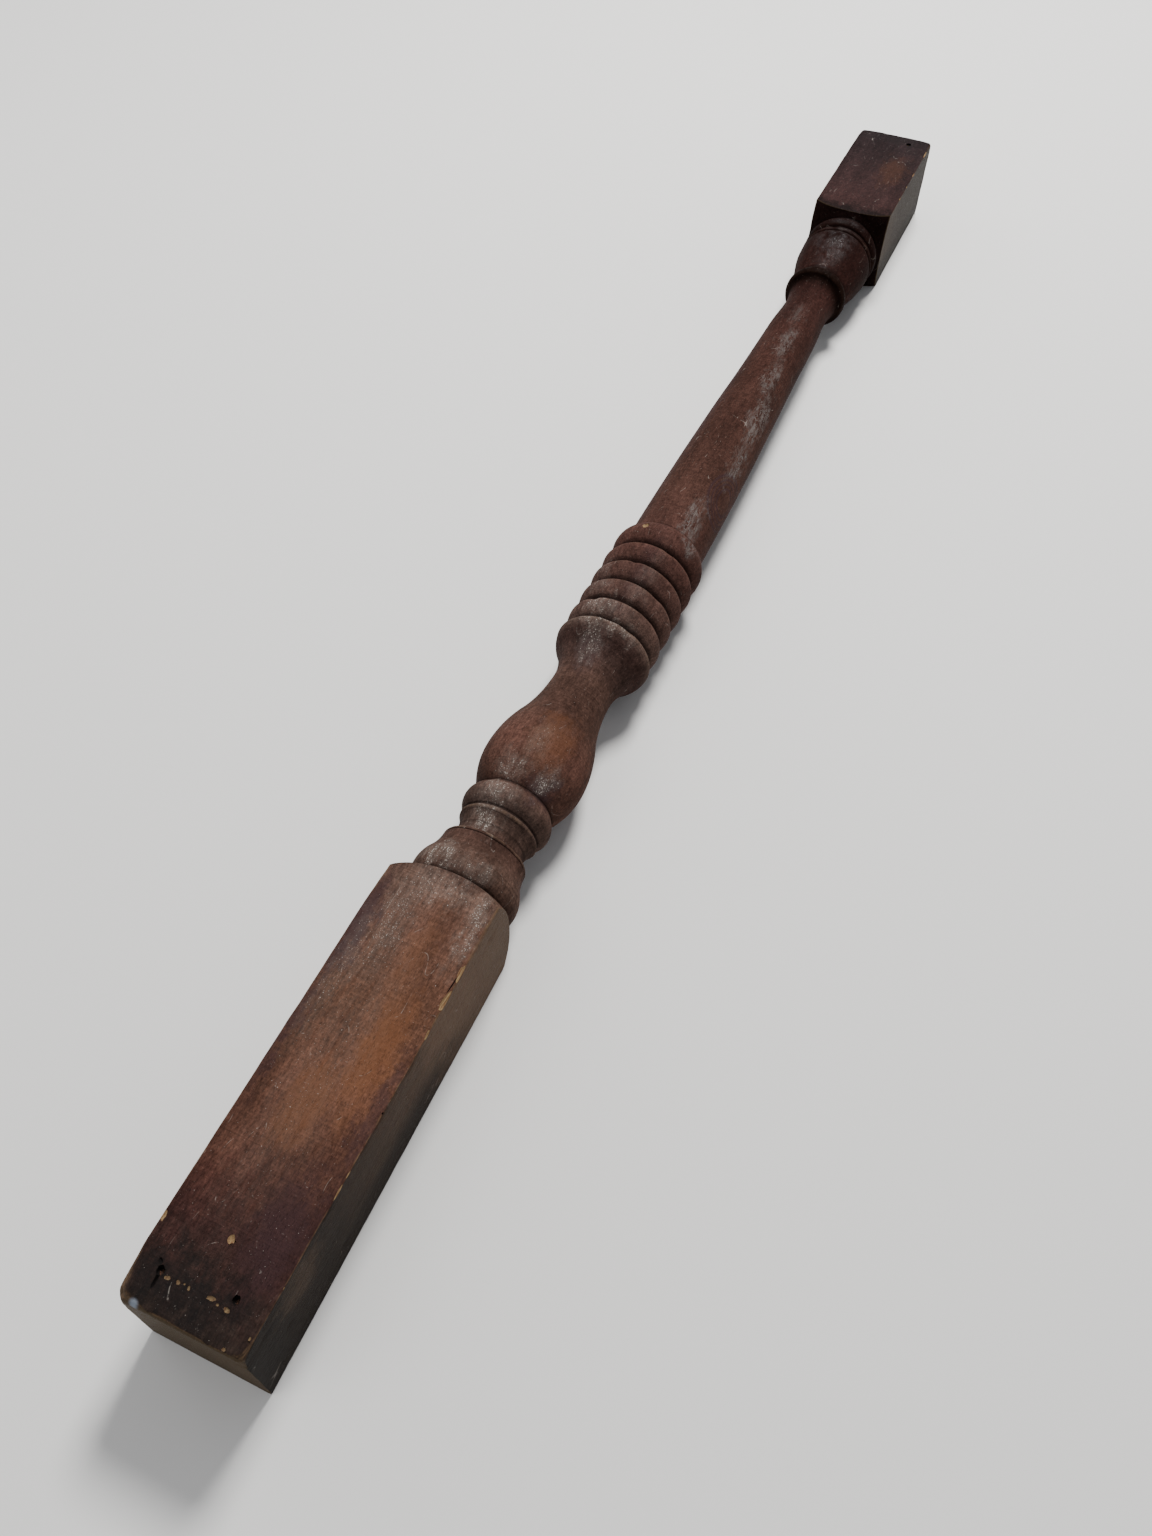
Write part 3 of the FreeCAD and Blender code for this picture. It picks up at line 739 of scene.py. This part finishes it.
def timber_material(stain):
    """Mahogany-stained hardwood, turned, varnished once and long worn: a deep red-brown
    that shows its fibres and open pores, dull where dusty and softly glossy where rubbed."""
    material, tree, shader, places = start_material("mahogany_stained_hardwood_worn", 0.5, 1.5)
    along, _, upward = add(tree, "ShaderNodeSeparateXYZ", {0: places}).outputs
    out = add(tree, "ShaderNodeSeparateXYZ",
              {0: add(tree, "ShaderNodeNewGeometry").outputs["Normal"]}).outputs
    groove, bend, flat, worn = [
        add(tree, "ShaderNodeAttribute", attribute_name=name).outputs["Fac"]
        for name in ("groove", "bend", "flat", "worn")]
    grain = {}
    for name, (size, detail, roughness) in GRAIN.items():
        steps = add(tree, "ShaderNodeVectorMath", {0: places, 1: size}, operation="DIVIDE")
        grain[name] = add(tree, "ShaderNodeTexNoise",
                          {"Vector": steps.outputs[0], "Scale": 1.0, "Detail": detail,
                           "Roughness": roughness}).outputs

    # patches are ragged because their places are shaken by the blotches
    shake = add(tree, "ShaderNodeVectorMath", {0: grain["blotch"]["Color"], 1: (0.5,) * 3},
                operation="SUBTRACT").outputs[0]
    shift = add(tree, "ShaderNodeVectorMath", {0: shake, 1: (44.0, 22.0, 16.0), 2: places},
                operation="MULTIPLY_ADD").outputs[0]
    ragged = add(tree, "ShaderNodeSeparateXYZ", {0: shift}).outputs[0]
    mask = {"flat": flat}
    for around, patches in ((shift, PATCHES), (places, SMOOTH_PATCHES)):
        for name, spots in patches.items():
            mask[name] = patch_mask(tree, around, spots)

    # the stain's colour runs ragged along the blocks and true along the turned part
    loose = add(tree, "ShaderNodeMix", {0: flat, 2: along, 3: ragged}).outputs[0]
    share = add(tree, "ShaderNodeMath", {0: loose, 1: LENGTH}, operation="DIVIDE").outputs[0]
    ramp = add(tree, "ShaderNodeValToRGB", {0: share})
    colours = ramp.color_ramp.elements
    while len(colours) < len(STAIN_AND_SHADE_ALONG):
        colours.new(1.0)
    for spot, (place, code) in zip(colours, STAIN_AND_SHADE_ALONG):
        spot.position = place / LENGTH
        spot.color = solid(linear(code))

    # yearly rings round a pith that lies outside the timber, 4 mm apart
    rings = add(tree, "ShaderNodeVectorMath", {0: shift, 1: (1e5, 4.0, 4.0)},
                operation="DIVIDE").outputs[0]
    from_pith = add(tree, "ShaderNodeVectorMath", {0: rings, 1: (0.0, 21.0, -29.0)},
                    operation="DISTANCE").outputs["Value"]
    ring = add(tree, "ShaderNodeMath", {0: from_pith, 1: 1.0}, operation="PINGPONG").outputs[0]

    # the light and dark of the wood, with painted shade darker towards its underside: input, its
    # range, then the brightness at each end
    bright = None
    for value, start, stop, at_start, at_stop in (
            (grain["cloud"][0], 0.34, 0.66, 0.46, 0.8),
            (grain["fibre"][0], 0.36, 0.68, 1.1, 0.86),
            (grain["turning"][0], 0.3, 0.7, 0.86, 1.14),
            (grain["mottle"][0], 0.3, 0.7, 0.72, 1.28),
            (grain["grit"][0], 0.3, 0.7, 0.7, 1.3),
            (ring, 0.6, 1.0, 1.0, 0.84),
            # painted shade: darker towards the underside
            (upward, 8.0, -20.0, 1.0, 0.82)):
        share = add(tree, "ShaderNodeMapRange",
                    {0: value, 1: start, 2: stop, 3: at_start, 4: at_stop}).outputs[0]
        if bright is not None:
            share = add(tree, "ShaderNodeMath", {0: bright, 1: share},
                        operation="MULTIPLY").outputs[0]
        bright = share
    paint = add(tree, "ShaderNodeHueSaturation",
                {"Color": ramp.outputs[0], "Value": bright}).outputs[0]

    # how far the surface faces sideways and endways, and how far each noise is from its
    # middle, where fine lines run: curled ones at the scuffs' edges, and a few long hairs
    apart = {}
    for name, value, middle in (("side", out[1], 0.0), ("end", out[0], 0.0),
                                ("curl", grain["curl"][0], 0.5), ("hair", grain["hair"][0], 0.5)):
        gap = add(tree, "ShaderNodeMath", {0: value, 1: middle}, operation="SUBTRACT").outputs[0]
        apart[name] = add(tree, "ShaderNodeMath", {0: gap}, operation="ABSOLUTE").outputs[0]
    # dark lines swirl round the knot in the shaft
    swirl = add(tree, "ShaderNodeMath", {0: mask["knot"], 1: 0.12},
                operation="PINGPONG").outputs[0]

    # masks that fade over a range: input, the range, then the strength at each end
    for name, value, start, stop, at_start, at_stop in (
            ("streak", grain["streak"][0], 0.3, 0.56, 0.2, 1.0),
            ("film", out[2], 0.2, 0.9, 0.0, 0.1),  # thin dust on all that faces up
            ("curl", apart["curl"], 0.022, 0.008, 0.0, 1.0),
            ("hair", apart["hair"], 0.006, 0.003, 0.0, 1.0),
            ("smear", grain["smear"][0], 0.44, 0.62, 0.0, 0.75),
            ("sparse", grain["blotch"][0], 0.55, 0.62, 0.0, 0.28),
            ("side", apart["side"], 0.75, 0.95, 0.0, 1.0),
            ("bleach", grain["smear"][0], 0.35, 0.65, 0.45, 0.95),
            # side faces darker towards the foot end
            ("darker_to_foot", ragged, 50.0, 190.0, 0.85, 0.0),
            # painted shade: side faces darker towards the bottom
            ("low_shade", upward, 20.0, -14.0, 0.0, 0.85),
            # dirt and painted shade in the grooves
            ("groove", groove, 1.1, 4.2, 0.0, 0.92),
            # painted shade in the creases
            ("crease", bend, 0.1, 0.8, 0.0, 0.65),
            ("crest", bend, -0.22, -0.8, 0.0, 0.6),
            ("patchy", grain["blotch"][0], 0.38, 0.62, 0.0, 1.0),
            ("unvarnished", along, 730.0, 760.0, 1.0, 0.3),
            ("sawn", apart["end"], 0.45, 0.8, 0.0, 1.0),
            ("rubbed", worn, 0.5, 1.5, 0.0, 0.85),
            ("edge", worn, 0.1, 0.4, 0.0, 0.8),
            ("dark_pore", grain["pore"][0], 0.58, 0.66, 0.0, 0.42),
            ("mottled", grain["mottle"][0], 0.3, 0.65, 1.0, 0.7),
            ("swirl", swirl, 0.03, 0.1, 0.0, 0.8),
            ("upper", out[2], 0.75, 0.98, 0.0, 1.0),
            ("kept", grain["blotch"][0], 0.4, 0.6, 0.0, 1.0)):
        mask[name] = add(
            tree, "ShaderNodeMapRange", {0: value, 1: start, 2: stop, 3: at_start, 4: at_stop},
            interpolation_type="SMOOTHSTEP" if name == "groove" else "LINEAR").outputs[0]

    # masks joined in turn: the one it makes, how, and the two that it is made from
    for name, operation, first, second in (
            ("dusty", "MULTIPLY", "dusty", "streak"),
            ("settled", "MAXIMUM", "dusty", "film"),
            ("veil", "MULTIPLY", "dusty", 0.13),
            ("smear", "MAXIMUM", "curl", "smear"),
            ("scuff", "MULTIPLY", "scuff", "smear"),
            ("scuff", "MULTIPLY", "scuff", 0.8),
            ("hair", "MULTIPLY", "hair", "sparse"),
            # the upright side faces are weathered, and painted shade with grime darkens them
            # below, towards the foot end and on the head block
            ("side", "MULTIPLY", "side", "flat"),
            ("weathered", "MULTIPLY", "side", "bleach"),
            ("shaded_and_grimy", "MAXIMUM", "darker_to_foot", "low_shade"),
            ("shaded_and_grimy", "SUBTRACT", "shaded_and_grimy", "less_darkened_side"),
            ("shaded_and_grimy", "MAXIMUM", "shaded_and_grimy", "head_side_darker"),
            ("shaded_and_grimy", "MULTIPLY", "shaded_and_grimy", "side"),
            # dirt and painted shade in the grooves and creases, bare wood where crests and
            # arrises are rubbed
            ("dirt_and_shade", "MAXIMUM", "groove", "crease"),
            ("crest", "MULTIPLY", "crest", "patchy"),
            ("crest", "MULTIPLY", "crest", "unvarnished"),
            ("sawn", "MULTIPLY", "sawn", "flat"),
            ("edge", "MULTIPLY", "edge", "patchy"),
            ("edge", "MULTIPLY", "edge", "unvarnished"),
            ("rubbed", "MAXIMUM", "rubbed", "edge"),
            ("iron", "MULTIPLY", "iron", "mottled"),
            ("varnish", "MULTIPLY", "varnish", "upper"),
            ("varnish", "MULTIPLY", "varnish", "kept"),
            ("dull", "MAXIMUM", "dusty", "scuff")):
        mask[name] = add(tree, "ShaderNodeMath", {0: mask[first], 1: mask.get(second, second)},
                         operation=operation, use_clamp=True).outputs[0]

    # dust is pale specks of 0.6 mm, denser where more of it has settled
    dense = add(tree, "ShaderNodeMapRange", {0: mask["settled"], 3: 0.74, 4: 0.53}).outputs[0]
    dust = add(tree, "ShaderNodeMath", {0: grain["speck"][0], 1: dense},
               operation="SUBTRACT").outputs[0]
    mask["dust"] = add(tree, "ShaderNodeMapRange", {0: dust, 2: 0.06, 4: 0.75}).outputs[0]

    for name, colour in (
            ("glow", stain.glow), ("aged", stain.purple), ("weathered", stain.weathered),
            ("crest", stain.weathered), ("shaded_and_grimy", stain.grime_and_shade), ("swirl", stain.purple),
            ("dark_pore", stain.dirt_and_shade), ("iron", stain.iron), ("rubbed", stain.worn),
            ("sawn", stain.end_grain), ("fleck", stain.fleck), ("veil", stain.dust),
            ("dust", stain.dust), ("scuff", stain.scuff), ("hair", stain.dust),
            ("dirt_and_shade", stain.dirt_and_shade)):
        paint = add(tree, "ShaderNodeMix", {0: mask[name], 6: paint, 7: solid(colour)},
                    data_type="RGBA").outputs[2]
    tree.links.new(paint, shader.inputs["Base Color"])

    # glossy where varnish is kept, dull where dusty or scuffed
    gloss = add(tree, "ShaderNodeMapRange", {0: mask["varnish"], 3: 0.5, 4: 0.18}).outputs[0]
    rough = add(tree, "ShaderNodeMath", {0: mask["dull"], 1: 0.25, 2: gloss},
                operation="MULTIPLY_ADD").outputs[0]
    rough = add(tree, "ShaderNodeMath", {0: grain["mottle"][0], 1: 0.08, 2: rough},
                operation="MULTIPLY_ADD").outputs[0]
    tree.links.new(rough, shader.inputs["Roughness"])
    sheen = add(tree, "ShaderNodeMapRange", {0: flat, 3: 0.006, 4: 0.03}).outputs[0]
    shine = add(tree, "ShaderNodeMapRange", {0: mask["varnish"], 3: sheen, 4: 0.1}).outputs[0]
    tree.links.new(shine, shader.inputs["Specular IOR Level"])

    height = 0.0
    for name, amount in (("fibre", 0.8), ("pore", -0.8), ("turning", 0.5), ("speck", 0.6),
                         ("grit", 1.2), ("mottle", 2.0)):
        height = add(tree, "ShaderNodeMath", {0: grain[name][0], 1: amount, 2: height},
                     operation="MULTIPLY_ADD").outputs[0]
    relief = add(tree, "ShaderNodeBump", {"Height": height, "Strength": 0.8,
                                          "Distance": 0.0003}).outputs[0]
    tree.links.new(relief, shader.inputs["Normal"])
    return material


def raw_material(stain):
    """Bare hardwood where a chip broke away: pale, dry and fibrous."""
    material, tree, shader, places = start_material("raw_hardwood_torn", 0.85, 1.5)
    shader.inputs["Specular IOR Level"].default_value = 0.2
    steps = add(tree, "ShaderNodeVectorMath", {0: places, 1: (5.0, 0.4, 0.4)},
                operation="DIVIDE").outputs[0]
    fibre = add(tree, "ShaderNodeTexNoise",
                {"Vector": steps, "Scale": 1.0, "Detail": 4.0}).outputs["Fac"]
    fibre = add(tree, "ShaderNodeMapRange", {0: fibre, 1: 0.4, 2: 0.7}).outputs[0]
    paint = add(tree, "ShaderNodeMix", {0: fibre, 6: solid(stain.raw), 7: solid(stain.glow)},
                data_type="RGBA").outputs[2]
    along = add(tree, "ShaderNodeSeparateXYZ", {0: places}).outputs[0]
    dirt = add(tree, "ShaderNodeMapRange", {0: along, 1: 32.0, 2: 20.0, 4: 0.45}).outputs[0]
    paint = add(tree, "ShaderNodeMix", {0: dirt, 6: paint, 7: solid(stain.iron)},
                data_type="RGBA").outputs[2]
    tree.links.new(paint, shader.inputs["Base Color"])
    relief = add(tree, "ShaderNodeBump", {"Height": fibre, "Strength": 0.8,
                                          "Distance": 0.0003}).outputs[0]
    tree.links.new(relief, shader.inputs["Normal"])
    return material


def hole_material(stain):
    """Wood burnt black by iron round a nail: matt, with crumbled walls."""
    material, tree, shader, places = start_material("iron_blackened_wood", 0.9, 1.5)
    shader.inputs["Specular IOR Level"].default_value = 0.1
    steps = add(tree, "ShaderNodeVectorMath", {0: places, 1: (0.8, 0.5, 0.8)},
                operation="DIVIDE").outputs[0]
    crumb = add(tree, "ShaderNodeTexNoise",
                {"Vector": steps, "Scale": 1.0, "Detail": 3.0}).outputs["Fac"]
    paint = add(tree, "ShaderNodeMix", {0: crumb, 6: solid(stain.dirt_and_shade), 7: solid(stain.iron)},
                data_type="RGBA").outputs[2]
    tree.links.new(paint, shader.inputs["Base Color"])
    return material


def rust_material():
    """Old mild steel, rusted through its surface: brown-black scale with orange bloom."""
    material, tree, shader, places = start_material("mild_steel_rusted", 0.75, 1.5)
    bloom = add(tree, "ShaderNodeTexNoise", {"Vector": places, "Scale": 1.1,
                                             "Detail": 5.0, "Roughness": 0.7}).outputs["Fac"]
    bloom = add(tree, "ShaderNodeMapRange", {0: bloom, 1: 0.4, 2: 0.65}).outputs[0]
    paint = add(tree, "ShaderNodeMix",
                {0: bloom, 6: solid(linear("#3a3532")), 7: solid(linear("#6d4127"))},
                data_type="RGBA").outputs[2]
    tree.links.new(paint, shader.inputs["Base Color"])
    bare = add(tree, "ShaderNodeMapRange", {0: bloom, 1: 0.0, 2: 1.0, 3: 0.8, 4: 0.1}).outputs[0]
    tree.links.new(bare, shader.inputs["Metallic"])
    relief = add(tree, "ShaderNodeBump", {"Height": bloom, "Strength": 0.7,
                                          "Distance": 0.0002}).outputs[0]
    tree.links.new(relief, shader.inputs["Normal"])
    return material


def floor_material(colour):
    """Smooth pale painted floor: matt, with the faintest cloud."""
    material, tree, shader, places = start_material("painted_floor_matt", 0.85, 1.45)
    cloud = add(tree, "ShaderNodeTexNoise", {"Vector": places, "Scale": 0.0033}).outputs["Fac"]
    cloud = add(tree, "ShaderNodeMath", {0: cloud, 1: 0.04}, operation="MULTIPLY").outputs[0]
    paint = add(tree, "ShaderNodeMix", {0: cloud, 6: solid(colour), 7: (0.5, 0.5, 0.5, 1.0)},
                data_type="RGBA").outputs[2]
    tree.links.new(paint, shader.inputs["Base Color"])
    return material


# ---------------------------------------------------------------- operators

class BALUSTER_OT_timber(bpy.types.Operator):
    """Build the worn timber in place of the plain one"""
    bl_idname = "baluster.timber"
    bl_label = "Stained timber"

    def execute(self, context):
        stain, wear = context.scene.baluster_stain, context.scene.baluster_wear
        stained, raw, burnt = timber_material(stain), raw_material(stain), hole_material(stain)
        timber = timber_mesh([stained, raw, burnt], wear)
        bite(timber, "chip_cuts", RAW_CHIPS, raw)
        bite(timber, "hole_cuts", DARK_HOLES, burnt)
        timber.data.shade_smooth()
        timber.data.set_sharp_from_angle(angle=math.radians(34))
        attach(timber, "root")
        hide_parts("baluster")
        return {"FINISHED"}


class BALUSTER_OT_splinters(bpy.types.Operator):
    """Add the torn slivers along the arris and at the nail holes"""
    bl_idname = "baluster.splinters"
    bl_label = "Torn splinters"

    def execute(self, context):
        raw = bpy.data.materials["raw_hardwood_torn"]
        points, faces = np.zeros((0, 3)), []
        for seed, shape in enumerate(SPLINTERS):
            more, more_faces = splinter(*shape, seed)
            faces += [tuple(i + len(points) for i in face) for face in more_faces]
            points = np.vstack([points, more])
        slivers = new_object("torn_splinters", to_metres(points), faces, [raw])
        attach(slivers, "root")
        return {"FINISHED"}


class BALUSTER_OT_nails(bpy.types.Operator):
    """Build the rusted stumps of the broken nails"""
    bl_idname = "baluster.nails"
    bl_label = "Broken nails"

    def execute(self, context):
        rust = rust_material()
        for seed, name in enumerate(("foot_nail_left", "foot_nail_right", "head_nail")):
            low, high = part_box(name)
            stump = nail_stump(name + "_rusted", low, high, rust, seed)
            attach(stump, "root")
            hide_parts(name)
        return {"FINISHED"}


def nail_stump(name, low, high, material, seed):
    """A pitted shank with a ragged broken top and a blunt point."""
    chance = np.random.default_rng(seed + 5)
    sides, rings = 20, 26
    radius, height = (high.x - low.x) / 2, high.z - low.z
    middle = (low + high) / 2
    point_share, skin = 0.23, 0.93
    points = []
    for ring in range(rings + 1):
        t = ring / rings
        taper = min(1.0, 0.2 + 0.8 * t / point_share)
        for side in range(sides):
            spin = math.tau * side / sides
            pit = skin + chance.uniform(-0.05, 0.05)
            drop = chance.uniform(0.0, 0.03) if ring == rings else 0.0
            points.append((middle.x + math.cos(spin) * radius * taper * pit,
                           middle.y + math.sin(spin) * radius * taper * pit,
                           low.z + height * (t - drop)))
    points += [(middle.x, middle.y, low.z), (middle.x, middle.y, high.z - height * 0.02)]
    stump = new_object(name, points, closed_tube(rings + 1, sides), [material])
    stump.data.shade_smooth()
    return stump


class BALUSTER_OT_stage(bpy.types.Operator):
    """Set the pale floor, the soft lamps and the camera"""
    bl_idname = "baluster.stage"
    bl_label = "Floor, lamps and camera"

    def execute(self, context):
        settings = context.scene.baluster_stage
        reach = 6.0
        corners = [(-reach, -reach, 0), (reach, -reach, 0), (reach, reach, 0), (-reach, reach, 0)]
        floor = new_object("floor", corners, [(0, 1, 2, 3)], [floor_material(settings.floor)])
        for name, place, size, power in LAMPS:
            lamp = bpy.data.lights.new(name, "AREA")
            lamp.shape, lamp.size, lamp.energy = "DISK", size, power
            holder = bpy.data.objects.new(name, lamp)
            holder.location = place
            holder.rotation_euler = (-Vector(place)).to_track_quat("-Z", "Y").to_euler()
            context.scene.collection.objects.link(holder)
        world = bpy.data.worlds.new("pale_room")
        world.use_nodes = True
        world.node_tree.nodes["Background"].inputs["Color"].default_value = (0.9, 0.93, 1.0, 1.0)
        world.node_tree.nodes["Background"].inputs["Strength"].default_value = 0.36
        context.scene.world = world
        camera = bpy.data.cameras.new("camera")
        camera.lens, camera.sensor_width = settings.lens, 36.0
        camera.clip_start = 0.01
        holder = bpy.data.objects.new("camera", camera)
        holder.location = settings.camera_place
        holder.rotation_euler = settings.camera_turn
        context.scene.collection.objects.link(holder)
        context.scene.camera = holder
        return {"FINISHED"}


# name, place in metres, width in metres and power in watts
LAMPS = [
    ("key_lamp", (1.2, 0.0, 1.8), 0.65, 78.0),
    ("fill_lamp", (-1.3, 0.9, 1.9), 1.6, 11.0),
    ("rim_lamp", (0.3, 1.9, 1.0), 1.2, 5.0),
]


class BALUSTER_PT_panel(bpy.types.Panel):
    """Lists the pieces of the baluster"""
    bl_idname = "BALUSTER_PT_panel"
    bl_label = "Worn turned baluster"
    bl_space_type = "VIEW_3D"
    bl_region_type = "UI"
    bl_category = "Baluster"

    def draw(self, context):
        for operator in OPERATORS:
            self.layout.operator(operator.bl_idname)
        for name in GROUPS:
            settings = getattr(context.scene, name)
            for item in settings.bl_rna.properties:
                if item.identifier not in ("rna_type", "name"):
                    self.layout.prop(settings, item.identifier)


OPERATORS = (BALUSTER_OT_timber, BALUSTER_OT_splinters, BALUSTER_OT_nails, BALUSTER_OT_stage)
GROUPS = {
    "baluster_stain": BALUSTER_PG_stain,
    "baluster_wear": BALUSTER_PG_wear,
    "baluster_stage": BALUSTER_PG_stage,
}


def register():
    """Add the classes and the settings to Blender."""
    for item in (*GROUPS.values(), *OPERATORS, BALUSTER_PT_panel):
        bpy.utils.register_class(item)
    for name, group in GROUPS.items():
        setattr(bpy.types.Scene, name, bpy.props.PointerProperty(type=group))


def unregister():
    """Take the classes and the settings out of Blender."""
    for name in GROUPS:
        delattr(bpy.types.Scene, name)
    for item in reversed((*GROUPS.values(), *OPERATORS, BALUSTER_PT_panel)):
        bpy.utils.unregister_class(item)


def main():
    """Build every piece."""
    register()
    bpy.ops.baluster.stage()
    bpy.ops.baluster.timber()
    bpy.ops.baluster.splinters()
    bpy.ops.baluster.nails()


if __name__ == "__main__":
    main()
